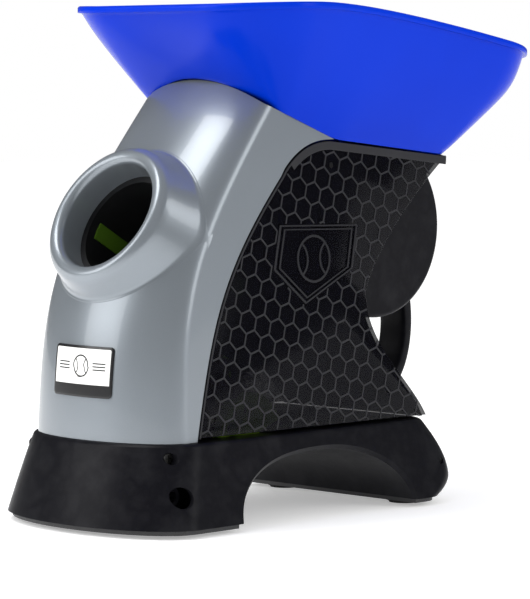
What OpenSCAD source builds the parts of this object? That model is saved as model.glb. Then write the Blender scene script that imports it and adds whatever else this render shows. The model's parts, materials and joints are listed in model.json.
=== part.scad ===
/* [Overall] */
// height of the hopper lip above the floor
total_h = 362; // [330:1:400]
// width across the hopper lip
hopper_w = 222; // [180:1:260]
// length of the hopper lip
hopper_l = 305; // [260:1:340]
// which sub-part to draw

/* [Base] */
// height of the moulded base
base_h = 62.5; // [50:0.5:80]
// underside of the base above the floor
base_z = 6; // [3:0.5:12]
// base wall thickness
base_wall = 3; // [2:0.5:5]
// height of the side arches
arch_h = 49; // [30:1:52]
// foot diameter
foot_d = 26; // [16:1:34]

/* [Shell] */
// thickness of the front shell
shell_t = 2.6; // [1.5:0.1:4]
// thickness of the smoked side panels
panel_t = 3; // [2:0.1:4]
// inward lean of the sides in degrees
side_lean = 2.52; // [0:0.01:5]

/* [Nozzle] */
// upward tilt of the launch axis in degrees
nozzle_tilt = 30; // [10:1:45]
// radius of the rounded lip of the nozzle
lip_r = 51.5; // [45:0.5:60]
// inner radius of the nozzle sleeve
sleeve_r = 40.3; // [36:0.1:44]
// inner radius of the launch barrel
barrel_r = 36; // [34:0.5:40]

/* [Mechanism] */
// gear tooth module
gear_mod = 1.2; // [1:0.1:2]
// teeth on the full circle of the launch arm sector
sector_teeth = 50; // [40:1:60]
// teeth on the winding pinion
pinion_teeth = 10; // [8:1:14]
// teeth on the reduction gear
wheel_teeth = 36; // [30:1:44]
// teeth on the motor pinion
motor_teeth = 9; // [8:1:14]

/* [Rear drum] */
// radius of the battery drum
drum_r = 65.6; // [55:0.1:70]
// half width of the battery drum
drum_w = 40; // [30:1:50]

/* [Hidden] */

frame_y = -54.15;
lean_x = 75.36;
lean_k = tan(side_lean);

// side face of the body at height z
function side_x(z) = lean_x - lean_k * z;
// centre of the rounded front at height z
function lean_y(z) = -86.4 + 24.9 * ln(1 + exp((z - 180) / 30));
// front edge of the side panels at height z
function seam_y(z) = lean_y(z) + 8 + 0.2 * (z - 65);
// seat of the hopper on the body
function seat_z(x, y) = (y < 66 ? 266.4 - 0.37 * (y - 66) : 266.4 - 0.11 * (y - 66))
  + (y < 30 ? 14 * max(0, 1 - pow(x / 62, 2)) : 0);

function mix(a, b, t) = a + (b - a) * t;
function bez(a, b, c, d, t) = pow(1 - t, 3) * a + 3 * t * pow(1 - t, 2) * b
  + 3 * t * t * (1 - t) * c + pow(t, 3) * d;
function curve(a, b, c, d, n) = [for (i = [0:n - 1]) bez(a, b, c, d, i / n)];

// closed outline with elliptic front corners and round rear corners, anticlockwise from above
function outline(w, front, rear, rx, ry, rr, n) = concat(
  [for (i = [0:n]) let (a = 90 * i / n) [w - rr + rr * cos(a), rear - rr + rr * sin(a)]],
  [for (i = [0:n]) let (a = 90 + 90 * i / n) [-w + rr + rr * cos(a), rear - rr + rr * sin(a)]],
  [for (i = [0:n]) let (a = 180 + 90 * i / n) [-w + rx + rx * cos(a), front + ry + ry * sin(a)]],
  [for (i = [0:n]) let (a = 270 + 90 * i / n) [w - rx + rx * cos(a), front + ry + ry * sin(a)]]);
function at_z(loop, z) = [for (p = loop) [p[0], p[1], z]];

// skin between equal loops listed from the bottom up
module loft(loops) {
  n = len(loops[0]);
  m = len(loops);
  walls = [for (j = [0:m - 2]) for (i = [0:n - 1]) for (s = [0, 1])
    let (a = j * n + i, b = j * n + (i + 1) % n) s == 0 ? [a, b + n, b] : [a, a + n, b + n]];
  floor = [[for (i = [0:n - 1]) i]];
  roof = [[for (i = [n - 1:-1:0]) (m - 1) * n + i]];
  polyhedron([for (l = loops) for (p = l) p], concat(walls, floor, roof), convexity = 6);
}

// skin through loops that close on themselves like a tyre
module ring_loft(loops) {
  n = len(loops[0]);
  m = len(loops);
  polyhedron([for (l = loops) for (p = l) p],
    [for (j = [0:m - 1]) for (i = [0:n - 1]) for (s = [0, 1])
      let (k = (j + 1) % m, a = j * n + i, b = j * n + (i + 1) % n, c = k * n + i, d = k * n + (i + 1) % n)
      s == 0 ? [a, d, b] : [a, c, d]], convexity = 8);
}

// everything is drawn in the design frame and moved once to the shared frame
module place() { translate([0, frame_y, 0]) children(); }

// child profiles drawn in the YZ plane and extruded along X from x0
module along_x(x0, len) { translate([x0, 0, 0]) rotate([90, 0, 90]) linear_extrude(len) children(); }
module rod_x(x0, len, y, z, r) {
  translate([x0, y, z]) rotate([0, 90, 0]) cylinder(r = r, h = len, $fn = 48);
}

// launch axis: children drawn along +Z from the nozzle lip inwards
nozzle_at = [0, -98, 218];
module launch_axis() { translate(nozzle_at) rotate([-90 - nozzle_tilt, 0, 0]) children(); }

// ---------- body outlines ----------
function base_loop(z, grow) = let (
    t = (base_h - z) / (base_h - base_z),
    w = mix(79.5, 91.5, t) - grow,
    front = mix(-124.5, -141.5, pow(t, 0.85)) + grow,
    rear = 152 + 22 * sin(min(1, t / 0.72) * 90) - (t > 0.72 ? 16 * pow((t - 0.72) / 0.28, 2) : 0) - grow)
  outline(w, front, rear, w, 46 - grow, 20 - grow, 9);
base_levels = [base_z, 10, 16, 24, 36, 50, base_h];

module base_solid(grow, low, high) {
  lv = concat([low], [for (z = base_levels) if (z > low + 1 && z < high - 1) z], [high]);
  loft([for (z = lv) at_z(base_loop(min(base_h, max(base_z, z)), grow), z)]);
}

function arch_z(y, grow) = let (u = abs(y - 37) / (87 + grow), e = y < 37 ? 2.5 : 2)
  (arch_h + grow) * pow(max(0, 1 - pow(u, e)), 1 / e);
module arch(grow) {
  n = 20;
  w = 87 + grow;
  polygon(concat([for (i = [-n:n]) let (y = 37 + w * sin(90 * i / n)) [y, arch_z(y, grow)]],
    [[37 + w, -10], [37 - w, -10]]));
}

// column outline at height z, drawn in by inset
function column_loop(z, inset, back) = let (
    w = side_x(z) - inset,
    y0 = lean_y(z),
    n = 20,
    l = side_x(z) / 2 - inset)
  concat([[w, back]], [for (i = [0:n]) let (a = -180 * i / n) [w * cos(a), y0 + l * sin(a)]], [[-w, back]]);
column_levels = [base_h + 0.2, 85, 110, 130, 150, 165, 180, 195, 210, 225, 240, 255, 270, 285, 300, 316];
module column_solid(inset) {
  loft([for (z = column_levels) [for (p = column_loop(z, inset, 100)) [-p[0], p[1], z]]]);
}

// ---------- base ----------
module base_shell() {
  place() color([0.06, 0.06, 0.07]) difference() {
    base_solid(0, base_z, base_h);
    difference() {
      base_solid(base_wall, base_z - 2, base_h - base_wall);
      along_x(-120, 240) arch(base_wall);
      translate([-100, -63, 0]) cube([200, 3, 52]);
      translate([-100, 21, 0]) cube([200, 3, 52]);
      for (s = [-1, 1]) for (y = [-90, 143.4]) translate([s * 61.2, y, 0]) cylinder(r = 7, h = 62, $fn = 32);
      for (s = [-1, 1]) rod_x(s > 0 ? 61 : -74, 13, -103.1, 53.3, 5.8);
      for (s = [-1, 1]) rod_x(s > 0 ? 72 : -86, 14, 156.5, 31, 4.4);
    }
    along_x(-120, 240) arch(0);
    translate([-60, -84, base_h - 10]) cube([120, 190, 20]);
    rod_x(68, 30, -103, 27.6, 7.3);
    translate([-100, -86, 20]) cube([20, 22, 14]);
    for (s = [-1, 1]) rod_x(s > 0 ? 68 : -98, 30, -103.1, 53.3, 4);
    for (s = [-1, 1]) rod_x(s > 0 ? 61.2 : -71.2, 10, -103.1, 53.3, 1.9);
    for (s = [-1, 1]) for (y = [-90, 143.4]) translate([s * 61.2, y, -1]) cylinder(r = 2.2, h = 20, $fn = 24);
    for (s = [-1, 1]) rod_x(s > 0 ? 82.6 : -96.6, 14, 156.5, 31, 2.5);
    for (s = [-1, 1]) rod_x(s > 0 ? 76 : -86, 10, 156.5, 31, 1.2);
  }
}

module bottom_plate_front() {
  place() color([0.16, 0.16, 0.17]) difference() {
    translate([0, 0, 2.6]) linear_extrude(3.2) difference() {
      polygon(base_loop(base_z, 3.6));
      translate([-120, -54]) square([240, 300]);
    }
    for (s = [-1, 1]) translate([s * 61.2, -90, -1]) cylinder(r = 2.2, h = 20, $fn = 24);
    for (s = [-1, 1]) translate([s * 30, -118, -1]) cylinder(r = 2, h = 20, $fn = 24);
  }
}

module bottom_plate_rear() {
  place() color([0.16, 0.16, 0.17]) difference() {
    translate([0, 0, 2.8]) linear_extrude(3) intersection() {
      polygon(base_loop(base_z, 3.6));
      translate([-120, 126]) square([240, 60]);
    }
    for (s = [-1, 1]) translate([s * 61.2, 143.4, -1]) cylinder(r = 2.2, h = 20, $fn = 24);
  }
}

module foot() {
  difference() {
    union() {
      cylinder(d = foot_d - 3, h = 1.4, $fn = 48);
      translate([0, 0, 1.4]) cylinder(d = foot_d, h = 1.2, $fn = 48);
    }
    translate([0, 0, 1]) cylinder(d = 9, h = 5, $fn = 32);
  }
}
module rubber_feet() {
  place() color([0.03, 0.03, 0.03])
    for (s = [-1, 1]) for (y = [-90, 143.4]) translate([s * 61.2, y, 0]) foot();
}

// ---------- body ----------
module front_shell() {
  place() color([0.62, 0.65, 0.67]) difference() {
    loft([for (z = column_levels) [for (p = column_loop(z, 0, 65)) [-p[0], p[1], z]]]);
    loft([for (z = column_levels) [for (p = column_loop(z, shell_t, 72))
      [-p[0], p[1], z < 63 ? z - 2 : z > 315 ? z + 2 : z]]]);
    along_x(-100, 200) polygon(concat([[seam_y(58) - 0.5, 58]], [for (p = front_edge) [p[0] - 0.5, p[1]]],
      [for (p = front_crown) [p[0] - 0.4, p[1] + 0.45]], [[62, 266.5], [120, 266.5], [120, 58]]));
    seat_cut(-0.4);
    launch_axis() translate([0, 0, -30]) cylinder(r = 47, h = 110, $fn = 72);
  }
}
// space above the hopper seat, raised by lift
seat_tilt = atan(0.37);
module seat_cut(lift) {
  n = 12;
  rotate([-seat_tilt, 0, 0]) translate([0, 260, 0]) rotate([90, 0, 0]) linear_extrude(460)
    polygon(concat([for (i = [-n:n]) let (x = 70 * i / n)
      [x, cos(seat_tilt) * (290.8 + lift + 14 * max(0, 1 - pow(x / 62, 2)))]], [[70, 420], [-70, 420]]));
}

module nozzle_collar() {
  place() color([0.62, 0.65, 0.67]) union() {
    difference() {
      launch_axis() rotate_extrude($fn = 96) polygon(concat(
        [for (a = [200:-20:60]) [lip_r - 5.6 + 5.6 * cos(a), 5.6 - 5.6 * sin(a)]],
        [[52.6, 4], [66.5, 42], [63.5, 42], [49.6, 9], [sleeve_r + 2.4, 9]]));
      column_solid(-0.15);
    }
    launch_axis() difference() {
      translate([0, 0, 4]) cylinder(r = sleeve_r + 2.4, h = 19, $fn = 96);
      cylinder(r = sleeve_r, h = 40, $fn = 96);
    }
  }
}

module launch_barrel() {
  place() color([0.05, 0.05, 0.055]) difference() {
    union() {
      launch_axis() translate([0, 0, 23.2]) cylinder(r = 38.5, h = 149, $fn = 96);
      launch_axis() translate([0, 0, 23.2]) cylinder(r = 42.4, h = 2.4, $fn = 96);
    }
    launch_axis() translate([0, 0, 20]) cylinder(r = barrel_r, h = 160, $fn = 96);
    translate([0, 18, 155]) cylinder(r = barrel_r, h = 90, $fn = 96);
    launch_axis() translate([-9, 0, 138]) cube([18, 60, 50]);
    launch_axis() translate([-5, 30, 126]) cube([10, 20, 16]);
    for (s = [-1, 1]) launch_axis() translate([s * 36.5 - 2.6, -6.2, 30]) cube([5.2, 12.4, 82]);
  }
}

module guide_rails() {
  place() color([0.45, 0.75, 0.05]) for (s = [-1, 1]) launch_axis()
    translate([s * 36.9 - 2, -6, 30.2]) cube([4, 12, 81.6]);
}

module feed_chute() {
  place() color([0.05, 0.05, 0.055]) difference() {
    union() {
      translate([0, 18, 150]) cylinder(r = 38.5, h = 92, $fn = 96);
      translate([0, 18, 239]) cylinder(r = 42.4, h = 12, $fn = 96);
    }
    translate([0, 18, 140]) cylinder(r = barrel_r, h = 130, $fn = 96);
    translate([0, 18, 242]) cylinder(r = 40.6, h = 30, $fn = 96);
    launch_axis() translate([0, 0, -20]) cylinder(r = 38.7, h = 260, $fn = 96);
  }
}

// outline of a side panel in the YZ plane
front_edge = [for (z = [65:9:236]) [seam_y(z), z]];
front_crown = curve([14.7, 246.4], [27, 259], [42, 266.5], [62, 266], 8);
rear_top = curve([185.2, 252.9], [140, 222], [93.7, 172], [93.7, 154.4], 14);
rear_low = curve([93.7, 154.4], [94, 118], [140, 90], [154.5, 64], 12);
panel_shape = concat(front_edge, front_crown, [[62, 266]], rear_top, rear_low, [[154.5, 64]]);

screw_points = [[62.1, 248.4], [70.8, 137.3], [112.9, 85], [-63.3, 76.8]];
module side_panel(s) {
  place() color([0.05, 0.05, 0.06, 0.85]) translate([s * lean_x, 0, 0]) rotate([0, -s * side_lean, 0])
    translate([s > 0 ? -panel_t : 0, 0, 0]) difference() {
      along_x(0, panel_t) polygon(panel_shape);
      for (p = screw_points) rod_x(-1, panel_t + 2, p[0], p[1], 2.3);
    }
}
module side_panel_right() { side_panel(1); }
module side_panel_left() { side_panel(-1); }

crest = [[6.7, 207.7], [86.2, 205.8], [79.7, 174.6], [30.4, 151.4], [-0.6, 176.7]];
function shrink(pts, k) = [for (p = pts) [mix(42, p[0], k), mix(184, p[1], k)]];
module panel_crest(s) {
  place() color([0.1, 0.1, 0.11]) translate([s * (lean_x + 0.1), 0, 0]) rotate([0, -s * side_lean, 0])
    translate([s > 0 ? 0 : -0.8, 0, 0]) along_x(0, 0.8) {
      difference() { polygon(crest); polygon(shrink(crest, 0.95)); }
      difference() { polygon(shrink(crest, 0.88)); polygon(shrink(crest, 0.84)); }
      translate([40, 183]) difference() { circle(r = 17, $fn = 64); circle(r = 15.2, $fn = 64); }
      translate([40, 183]) intersection() {
        circle(r = 15.4, $fn = 64);
        for (k = [-1, 1]) translate([k * 20, 0]) difference() {
          circle(r = 14.6, $fn = 64);
          circle(r = 13, $fn = 64);
        }
      }
    }
}
module panel_crest_right() { panel_crest(1); }
module panel_crest_left() { panel_crest(-1); }

module front_label() {
  place() color([0.92, 0.92, 0.9]) intersection() {
    difference() {
      column_solid(-1.2);
      column_solid(-0.2);
    }
    translate([0, -60, 109.5]) rotate([90, 0, 0]) linear_extrude(100) offset_box(58, 35, 3);
  }
}
module offset_box(w, h, r) {
  translate([-w / 2 + r, -h / 2]) square([w - 2 * r, h]);
  translate([-w / 2, -h / 2 + r]) square([w, h - 2 * r]);
  for (i = [-1, 1]) for (j = [-1, 1]) translate([i * (w / 2 - r), j * (h / 2 - r)]) circle(r = r, $fn = 32);
}

// wedge between the two leaning panels
module between_panels(gap) {
  rotate([90, 0, 0]) translate([0, 0, -260]) linear_extrude(400) polygon([
    [-side_x(60) + panel_t + gap, 60], [side_x(60) - panel_t - gap, 60],
    [side_x(270) - panel_t - gap, 270], [-side_x(270) + panel_t + gap, 270]]);
}
module rear_wall() {
  inner = concat(curve([181, 253.6], [136, 223], [89.7, 172], [89.7, 154.4], 12),
    curve([89.7, 154.4], [90, 116], [136, 88], [150.5, 64], 12), [[150.5, 63]]);
  outer = concat(curve([184.2, 253.2], [139, 222.4], [92.9, 172], [92.9, 154.4], 12),
    curve([92.9, 154.4], [93.2, 117.6], [139.2, 89.6], [153.7, 64], 12), [[153.7, 63]]);
  place() color([0.05, 0.05, 0.055]) difference() {
    intersection() {
      along_x(-100, 200) polygon(concat(inner, [for (i = [24:-1:0]) outer[i]]));
      between_panels(0.3);
    }
    rod_x(-drum_w - 0.3, 2 * drum_w + 0.6, 138.5, 199.9, drum_r + 0.3);
    for (s = [-1, 1]) rod_x(s > 0 ? 50 : -70, 20, 70.8, 137.3, 1.5);
  }
}

module top_rails() {
  place() color([0.05, 0.05, 0.055]) difference() {
    intersection() {
      along_x(-100, 200) polygon([[66, 261.8], [66, 264.4], [172, 253.2], [172, 250.8]]);
      between_panels(0.3);
    }
    translate([-52, 50, 230]) cube([104, 200, 60]);
  }
}

// ---------- rear drum ----------
drum_c = [138.5, 199.9];
door_low = 3.6;
door_high = 36.4;
module drum_shell() {
  place() color([0.09, 0.09, 0.1]) difference() {
    rod_x(-drum_w, 2 * drum_w - 3.2, drum_c[0], drum_c[1], drum_r);
    rod_x(-drum_w + 2.6, 2 * drum_w, drum_c[0], drum_c[1], drum_r - 2.6);
    along_x(-31, 62) polygon(door_sector(door_low - 0.6, door_high + 0.6, drum_r + 4));
    for (s = [-1, 1]) for (a = [100, 190, 280]) rod_x(drum_w - 12, 20,
      drum_c[0] + 63.9 * cos(a), drum_c[1] + 63.9 * sin(a), 0.6);
  }
}
function door_sector(a0, a1, r) = concat([[drum_c[0] + 52 * cos(a0), drum_c[1] + 52 * sin(a0)]],
  [for (i = [0:6]) let (a = mix(a0, a1, i / 6)) [drum_c[0] + r * cos(a), drum_c[1] + r * sin(a)]],
  [[drum_c[0] + 52 * cos(a1), drum_c[1] + 52 * sin(a1)]]);

module drum_side_disc() {
  rim = [for (a = [0:15:90]) [drum_r - 3 + 3 * cos(a), -3 + 3 * sin(a)]];
  place() color([0.1, 0.1, 0.11]) translate([drum_w, drum_c[0], drum_c[1]]) rotate([0, 90, 0])
    rotate_extrude($fn = 128) polygon(concat([[0, -3], [drum_r, -3]], rim, [[0, 0]]));
}

module battery_tray() {
  place() color([0.07, 0.07, 0.08]) difference() {
    union() {
      for (s = [-1, 1]) rod_x(s > 0 ? 31 : -33, 2, drum_c[0], drum_c[1], 58);
      for (a = [110, 200, 300]) rod_x(-31, 62, drum_c[0] + 53 * cos(a), drum_c[1] + 53 * sin(a), 3);
    }
    for (s = [-1, 1]) rod_x(s * 32 - 3, 6, drum_c[0], drum_c[1], 5);
    along_x(-40, 80) polygon(door_sector(-4, 58, drum_r + 4));
  }
}
module battery_cells() {
  place() color([0.55, 0.45, 0.15]) for (i = [0:5]) let (a = 60 * i + 10)
    translate([-25, drum_c[0] + 30 * cos(a), drum_c[1] + 30 * sin(a)]) rotate([0, 90, 0]) {
      cylinder(r = 13, h = 48.5, $fn = 48);
      translate([0, 0, 48.5]) cylinder(r = 3, h = 1.5, $fn = 24);
    }
}
module battery_contacts() {
  place() color([0.75, 0.75, 0.77]) for (i = [0:5]) let (a = 60 * i + 10)
    translate([0, drum_c[0] + 30 * cos(a), drum_c[1] + 30 * sin(a)]) rotate([0, 90, 0]) {
      translate([0, 0, 30.2]) cylinder(r = 6, h = 0.6, $fn = 32);
      translate([0, 0, 25.2]) cylinder(r = 3.4, h = 5, $fn = 32);
      translate([0, 0, -30.8]) cylinder(r = 6, h = 0.6, $fn = 32);
      for (k = [0:3]) translate([0, 0, -30.2 + 1.3 * k]) rotate_extrude($fn = 32)
        translate([5 - k * 0.5, 0.5]) circle(r = 0.5, $fn = 13);
    }
}

door_turn = -14;
door_hinge = [drum_c[0] + (drum_r + 2.2) * cos(2), drum_c[1] + (drum_r + 2.2) * sin(2)];
// point (y, z) given beside the hinge pin, leaning with the door
function by_hinge(y, z) = [door_hinge[0] + y * cos(door_turn) - z * sin(door_turn),
  door_hinge[1] + y * sin(door_turn) + z * cos(door_turn)];
module battery_door() {
  place() color([0.09, 0.09, 0.1]) {
    intersection() {
      difference() {
        rod_x(-30.6, 61.2, drum_c[0], drum_c[1], drum_r);
        rod_x(-40, 80, drum_c[0], drum_c[1], drum_r - 2.6);
      }
      along_x(-31, 62) polygon(door_sector(door_low, door_high, drum_r + 4));
    }
    for (s = [-1, 1]) difference() {
      union() {
        rod_x(s * 20 - 4, 8, door_hinge[0], door_hinge[1], 1.9);
        along_x(s * 20 - 4, 8)
          polygon([by_hinge(-1.6, 0), by_hinge(1.6, 0), by_hinge(-0.8, 4.6), by_hinge(-5, 4.6)]);
      }
      rod_x(-60, 120, door_hinge[0], door_hinge[1], 1.05);
    }
  }
}
module door_pin() {
  place() color([0.7, 0.7, 0.72]) {
    rod_x(-30, 60, door_hinge[0], door_hinge[1], 1);
    for (s = [-1, 1]) along_x(s * 28 - 1.5, 3)
      polygon([by_hinge(-1.6, -1.2), by_hinge(0.9, -1.2), by_hinge(0.9, 0.9), by_hinge(-1.6, 0.9)]);
  }
}

module carry_handle() {
  outer = concat([[178, 171]], curve([196, 165], [208, 146], [208.5, 108], [194, 86.6], 12),
    curve([194, 86.6], [186, 75], [170, 66.5], [152, 66.5], 5), [[152, 66.5]]);
  inner = concat([[146, 75.5]], curve([152, 75.5], [168, 76], [180, 83], [186, 91], 5),
    curve([186, 91], [199, 108], [200, 140], [187, 158], 12), [[178, 160]]);
  place() color([0.05, 0.05, 0.055]) difference() {
    along_x(-13.5, 27) polygon(concat(outer, inner));
    rod_x(-50, 100, drum_c[0], drum_c[1], drum_r + 0.1);
    along_x(-20, 40) polygon(concat(curve([93.1, 154.4], [93.4, 117.6], [139.4, 89.6], [153.9, 64], 12),
      [[153.9, 60], [80, 60]]));
  }
}

// ---------- mechanism ----------
arm_at = [-13, 60];
sector_r = gear_mod * sector_teeth / 2;
pinion_r = gear_mod * pinion_teeth / 2;
wind_at = [arm_at[0] + (sector_r + pinion_r) * cos(115), arm_at[1] + (sector_r + pinion_r) * sin(115)];
wheel_r = gear_mod * wheel_teeth / 2;
motor_r = gear_mod * motor_teeth / 2;
motor_at = [wind_at[0] + (wheel_r + motor_r) * cos(200), wind_at[1] + (wheel_r + motor_r) * sin(200)];

// gear outline with straight-sided teeth, keeping teeth whose angle lies in [from, to]
function tooth(r, n, k, turn) = let (p = 360 / n, a = turn + k * p) [
  for (q = [[-0.30, -1.2], [-0.14, 0.95], [0.14, 0.95], [0.30, -1.2]])
    [(r + q[1] * gear_mod) * cos(a + q[0] * p), (r + q[1] * gear_mod) * sin(a + q[0] * p)]];
module gear2d(n, turn) {
  r = gear_mod * n / 2;
  polygon([for (k = [0:n - 1]) for (p = tooth(r, n, k, turn)) p]);
}

module gear_plate(x0) {
  difference() {
    along_x(x0, 3) polygon([[-72, 52], [24, 52], [24, 56], [6, 66], [-8, 84], [-22, 106], [-36, 106],
      [-70, 98], [-74, 84]]);
    rod_x(x0 - 1, 5, arm_at[0], arm_at[1], 5);
    rod_x(x0 - 1, 5, wind_at[0], wind_at[1], 4.5);
    for (a = [45, 225]) rod_x(x0 - 1, 5, motor_at[0] + 8.5 * cos(a), motor_at[1] + 8.5 * sin(a), 1.4);
    rod_x(x0 - 1, 5, motor_at[0], motor_at[1], 4.2);
  }
}
module gear_plate_right() { place() color([0.2, 0.2, 0.21]) gear_plate(40); }
module gear_plate_left() { place() color([0.2, 0.2, 0.21]) gear_plate(-43); }

module bushing(x0, c, r) {
  difference() {
    rod_x(x0, 3, c[0], c[1], r);
    rod_x(x0 - 1, 5, c[0], c[1], 2.05);
  }
}
module shaft_bushings() {
  place() color([0.7, 0.55, 0.25]) for (x0 = [-43, 40]) {
    difference() {
      rod_x(x0, 3, arm_at[0], arm_at[1], 5);
      rod_x(x0 - 1, 5, arm_at[0], arm_at[1], 3.05);
    }
    bushing(x0, wind_at, 4.5);
  }
}

module motor() {
  place() color([0.75, 0.76, 0.78]) difference() {
    union() {
      rod_x(0, 39.8, motor_at[0], motor_at[1], 13.8);
      rod_x(39.8, 2, motor_at[0], motor_at[1], 4);
      rod_x(-3, 3, motor_at[0], motor_at[1], 5);
    }
    rod_x(36, 10, motor_at[0], motor_at[1], 1.05);
  }
}
module motor_pinion() {
  place() color([0.75, 0.6, 0.25]) difference() {
    union() {
      translate([44, motor_at[0], motor_at[1]]) rotate([90, 0, 90]) linear_extrude(5) gear2d(motor_teeth, 20);
      rod_x(36.5, 12.5, motor_at[0], motor_at[1], 1);
    }
    rod_x(48.5, 2, motor_at[0], motor_at[1], 0.8);
  }
}

module winding_gear() {
  place() color([0.88, 0.88, 0.85]) {
    rod_x(-43.5, 103, wind_at[0], wind_at[1], 2);
    rod_x(43.4, 16, wind_at[0], wind_at[1], 3.2);
    translate([44.4, wind_at[0], wind_at[1]]) rotate([90, 0, 90]) linear_extrude(4.2)
      difference() {
        gear2d(wheel_teeth, 5);
        for (a = [0:60:300]) rotate(a) translate([12.5, 0]) circle(r = 3.6, $fn = 32);
      }
    translate([50.2, wind_at[0], wind_at[1]]) rotate([90, 0, 90]) linear_extrude(7.6) difference() {
      gear2d(pinion_teeth, -65 + 18);
      for (k = [0:3]) rotate(115 + 90 + 40 * k) translate([4.4, -3]) square([6, 6]);
    }
  }
}

module launch_arm() {
  place() color([0.45, 0.75, 0.05]) {
    rod_x(-43.4, 100, arm_at[0], arm_at[1], 3);
    rod_x(-24, 60, arm_at[0], arm_at[1], 8.5);
    along_x(-5, 10) polygon([for (p = [[0, -8], [60, -5.5], [98, -4], [98, 4], [60, 5.5], [0, 8]])
      [arm_at[0] + p[0] * cos(50) - p[1] * sin(50), arm_at[1] + p[0] * sin(50) + p[1] * cos(50)]]);
    translate([0, arm_at[0] + 96 * cos(50), arm_at[1] + 96 * sin(50)]) rotate([60, 0, 0])
      translate([0, 0, -8]) rotate_extrude($fn = 72)
        polygon([[0, 0], [12, 0], [16, 3], [22, 8], [24, 11.4], [20, 9.6], [10, 7.6], [0, 7]]);
    translate([50, arm_at[0], arm_at[1]]) rotate([90, 0, 90]) linear_extrude(8) difference() {
      gear2d(sector_teeth, 115 - 180 / sector_teeth);
      polygon([[0, 0], [-60 * cos(8), -60 * sin(8)], [-60, -60], [60, -60], [60, 0],
        [60 * cos(20), 60 * sin(20)]]);
      rotate(115) translate([sector_r + pinion_r, 0]) circle(r = pinion_r + gear_mod + 0.35, $fn = 64);
      for (a = [94, 127, 160]) rotate(a) translate([19, 0]) circle(r = 5.2, $fn = 40);
    }
    rod_x(50, 8, arm_at[0], arm_at[1], 9);
  }
}

module arm_spring() {
  place() color([0.7, 0.7, 0.72]) {
    for (k = [0:5]) translate([-39 + 2.2 * k, arm_at[0], arm_at[1]]) rotate([0, 90, 0])
      rotate_extrude($fn = 48) translate([7, 0]) circle(r = 0.8, $fn = 16);
  }
}

module control_board() {
  place() color([0.05, 0.3, 0.12]) {
    translate([-38, -126, 24]) cube([76, 52, 1.6]);
    translate([-10, -112, 25.6]) cube([14, 14, 2.4]);
    translate([16, -120, 25.6]) cylinder(r = 6, h = 12, $fn = 40);
    translate([-28, -90, 25.6]) cylinder(r = 7, h = 8, $fn = 40);
    translate([10, -92, 25.6]) cube([18, 9, 9]);
    for (s = [-1, 1]) for (y = [-122, -78]) translate([s * 34, y, 5.8]) cylinder(r = 2.4, h = 18.2, $fn = 24);
  }
}

module power_jack() {
  place() color([0.04, 0.04, 0.045]) {
    difference() {
      union() {
        rod_x(66, 6.5, -103, 27.6, 7);
        rod_x(63, 4, -103, 27.6, 5.4);
        translate([54, -110, 20.6]) cube([10, 12.6, 14]);
      }
      rod_x(59, 20, -103, 27.6, 4);
    }
    rod_x(58, 12, -103, 27.6, 1.2);
  }
}

module switch_frame() {
  place() color([0.04, 0.04, 0.045]) difference() {
    translate([-88.6, -85.8, 20.2]) cube([12.6, 21.6, 13.6]);
    translate([-95, -83.5, 22.2]) cube([16.5, 17, 9.6]);
  }
}
module power_rocker() {
  place() color([0.6, 0.05, 0.05]) intersection() {
    translate([-92, -81.2, 22.6]) cube([11, 12.4, 8.8]);
    translate([-80, -75, 20]) cylinder(r = 10.4, h = 14, $fn = 96);
  }
}

module sensor_switch() {
  place() color([0.08, 0.08, 0.09]) launch_axis() {
    translate([-6, 41, 108]) cube([12, 8, 16]);
    difference() {
      for (s = [-1, 1]) translate([s * 5.2 - 0.8, 38.4, 108.6]) cube([1.6, 2.7, 12.4]);
      translate([-8, 39.35, 110]) rotate([0, 90, 0]) cylinder(r = 0.66, h = 16, $fn = 32);
    }
  }
}
module sensor_lever() {
  place() color([0.7, 0.72, 0.74]) launch_axis() {
    translate([-3.5, 38.9, 109]) cube([7, 0.9, 24]);
    translate([-6, 39.35, 110]) rotate([0, 90, 0]) cylinder(r = 0.6, h = 12, $fn = 32);
    translate([-3.5, 34.4, 131.8]) cube([7, 5.4, 1.2]);
  }
}

// ---------- hopper ----------
function lip_z(y) = total_h - (y < 10 ? 0.0004 * pow(y - 10, 2) : 0) - (y > 10 ? 0.12 * (y - 10) : 0)
  - 0.00016 * pow(max(0, y - 10), 2) + (y > 10 ? 4.0 * (1 - exp(-(y - 10) / 40)) : 0);
hop_front = -54.7;
hop_rear = hop_front + hopper_l;
function fside(t) = 0.49 * t + 0.51 * t * t;
function frear(t) = ln(exp(12 * 0.14 * t) + exp(12 * (t - 0.31) / 0.69)) / 12
  - ln(1 + exp(-12 * 0.31 / 0.69)) / 12;
function bowl_loop(t, inset) = let (
    fs = fside(t),
    fr = min(1, frear(t)),
    w = mix(hopper_w / 2 - 3, side_x(280) + 0.9, fs) - inset,
    front = mix(hop_front + 3, -13.2, fs) + inset,
    rear = mix(hop_rear - 3, 188, fr) - inset,
    rx = mix(57, side_x(280) + 0.9, fs) - inset,
    ry = mix(57, 32.5, fs) - inset,
    rr = mix(44, 14, fr) - inset)
  [for (p = outline(w, front, rear, rx, ry, rr, 14)) let (y0 = p[1],
    top = lip_z(y0) - 5, low = seat_z(p[0] * 0.985, min(188, y0)))
    [p[0], y0, mix(top, low, t)]];
function lip_loop(w, drop) = let (
    g = w - hopper_w / 2,
    edge = outline(w, hop_front - g, hop_rear + g, 60 + g, 60 + g, 47 + g, 14))
  [for (p = edge) [p[0], p[1], lip_z(p[1]) - drop]];
function hole_loop(r, z) = [for (i = [0:59]) let (a = 90 * floor(i / 15) + 6.3 * (i % 15) + 0.9)
  [r * cos(a), 18 + r * sin(a), z]];
function lift_loop(t, inset, add, least) = [for (p = bowl_loop(t, inset))
  [p[0], p[1], max(p[2] + add, least + 0.05 * (p[1] - 60))]];
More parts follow.
